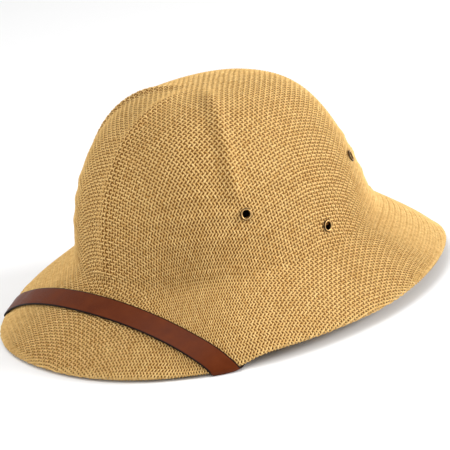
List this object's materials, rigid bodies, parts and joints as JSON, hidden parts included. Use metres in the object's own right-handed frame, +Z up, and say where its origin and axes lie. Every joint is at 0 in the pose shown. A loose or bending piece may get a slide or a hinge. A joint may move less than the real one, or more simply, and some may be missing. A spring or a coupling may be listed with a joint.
{
  "type": "pith helmet",
  "caption": "Sun helmet of woven straw: a ribbed dome crown, a sloping brim all round, a leather strap over the front of the brim, and brass vent eyelets.",
  "frame": {"origin": "on the ground that the hat rests on, midway between the brim's front and its back and between its sides", "axes": "+Z up out of the top of the crown, -Y to the wearer's front, +X to the wearer's left"},
  "size_m": [0.267, 0.333, 0.146],
  "materials": {
    "straw": "open plain weave of stiffened straw twine, matt",
    "leather": "smooth, half matt, with dark edges",
    "brass": "dark antique brass"
  },
  "bodies": {
    "root": {"straw_hood": "straw", "brim_strap": "leather", "eyelet_front_left": "brass", "eyelet_front_right": "brass", "eyelet_side_left": "brass", "eyelet_side_right": "brass", "eyelet_rear_left": "brass", "eyelet_rear_right": "brass"}
  },
  "joints": []
}
